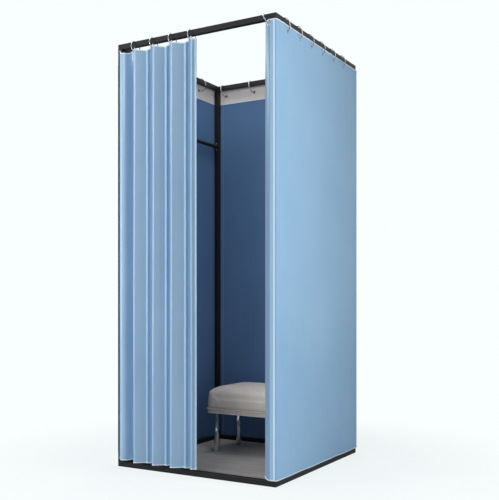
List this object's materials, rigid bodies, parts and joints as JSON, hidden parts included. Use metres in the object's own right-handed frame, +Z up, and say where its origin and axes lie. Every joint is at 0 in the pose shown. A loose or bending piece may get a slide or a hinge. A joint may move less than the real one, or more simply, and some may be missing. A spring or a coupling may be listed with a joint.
{
  "type": "portable fitting room",
  "caption": "Open-topped square tube cabin with cloth walls and a sliding pleated curtain on wire rings, a clothes rail, an upholstered stool and a floor mat.",
  "frame": {"origin": "middle of the frame's footprint on the floor, on the mat's underside", "axes": "+Z up, -Y out of the front where the curtain hangs, +X to the right for a person who looks in from the front"},
  "size_m": [0.895, 0.9503, 2.006],
  "materials": {
    "frame_steel": "black powder coat, semi-gloss",
    "corner_nylon": "black moulded nylon, satin",
    "clothes_rail_steel": "black powder coat, semi-gloss",
    "ring_wire": "bright plated steel wire",
    "curtain_cloth": "plain woven polyester with a soft sheen",
    "wall_cloth": "plain woven polyester with a soft sheen",
    "stool_chrome": "polished chrome plate",
    "stool_upholstery": "warm grey woven upholstery",
    "mat_carpet": "warm grey low loop carpet"
  },
  "bodies": {
    "cabin": {"front_base_rail": "frame_steel", "rear_base_rail": "frame_steel", "left_base_rail": "frame_steel", "right_base_rail": "frame_steel", "front_top_rail": "frame_steel", "rear_top_rail": "frame_steel", "left_top_rail": "frame_steel", "right_top_rail": "frame_steel", "front_left_post": "frame_steel", "front_right_post": "frame_steel", "rear_left_post": "frame_steel", "rear_right_post": "frame_steel", "bottom_front_left_corner": "corner_nylon", "bottom_front_right_corner": "corner_nylon", "bottom_rear_left_corner": "corner_nylon", "bottom_rear_right_corner": "corner_nylon", "top_front_left_corner": "corner_nylon", "top_front_right_corner": "corner_nylon", "top_rear_left_corner": "corner_nylon", "top_rear_right_corner": "corner_nylon", "clothes_rail": "clothes_rail_steel", "clothes_rail_bracket_front": "clothes_rail_steel", "clothes_rail_bracket_rear": "clothes_rail_steel", "right_wall": "wall_cloth", "left_wall": "wall_cloth", "rear_wall": "wall_cloth", "flap_ring": "ring_wire", "right_ring_1": "ring_wire", "right_ring_2": "ring_wire", "right_ring_3": "ring_wire", "right_ring_4": "ring_wire", "right_ring_5": "ring_wire", "right_ring_6": "ring_wire", "left_ring_1": "ring_wire", "left_ring_2": "ring_wire", "left_ring_3": "ring_wire", "left_ring_4": "ring_wire", "left_ring_5": "ring_wire", "left_ring_6": "ring_wire", "rear_ring_1": "ring_wire", "rear_ring_2": "ring_wire", "rear_ring_3": "ring_wire", "rear_ring_4": "ring_wire", "rear_ring_5": "ring_wire", "floor_mat": "mat_carpet"},
    "curtain_run_1": {"curtain_1": "curtain_cloth", "curtain_ring_1": "ring_wire"},
    "curtain_run_2": {"curtain_2": "curtain_cloth", "curtain_ring_2": "ring_wire"},
    "curtain_run_3": {"curtain_3": "curtain_cloth", "curtain_ring_3": "ring_wire"},
    "curtain_run_4": {"curtain_4": "curtain_cloth", "curtain_ring_4": "ring_wire"},
    "stool": {"stool_leg_front_left": "stool_chrome", "stool_leg_front_right": "stool_chrome", "stool_leg_rear_left": "stool_chrome", "stool_leg_rear_right": "stool_chrome", "stool_seat_base": "stool_upholstery", "stool_cushion": "stool_upholstery"}
  },
  "joints": [
    {"name": "curtain_slide_1", "type": "slide", "parent": "cabin", "child": "curtain_run_1", "axis": [1, 0, 0], "range_m": [-0.04, 0.0895], "deforming": ["curtain_1"]},
    {"name": "curtain_slide_2", "type": "slide", "parent": "curtain_run_1", "child": "curtain_run_2", "axis": [1, 0, 0], "range_m": [-0.04, 0.0895], "deforming": ["curtain_2"]},
    {"name": "curtain_slide_3", "type": "slide", "parent": "curtain_run_2", "child": "curtain_run_3", "axis": [1, 0, 0], "range_m": [-0.04, 0.0895], "deforming": ["curtain_3"]},
    {"name": "curtain_slide_4", "type": "slide", "parent": "curtain_run_3", "child": "curtain_run_4", "axis": [1, 0, 0], "range_m": [-0.04, 0.0895], "deforming": ["curtain_4"]},
    {"name": "stool_slide", "type": "slide", "parent": "cabin", "child": "stool", "axis": [0, -1, 0], "range_m": [-0.05, 0.4]}
  ],
  "couplings": [
    {"joint": "curtain_slide_2", "follows": "curtain_slide_1", "ratio": 1},
    {"joint": "curtain_slide_3", "follows": "curtain_slide_1", "ratio": 1},
    {"joint": "curtain_slide_4", "follows": "curtain_slide_1", "ratio": 1}
  ]
}
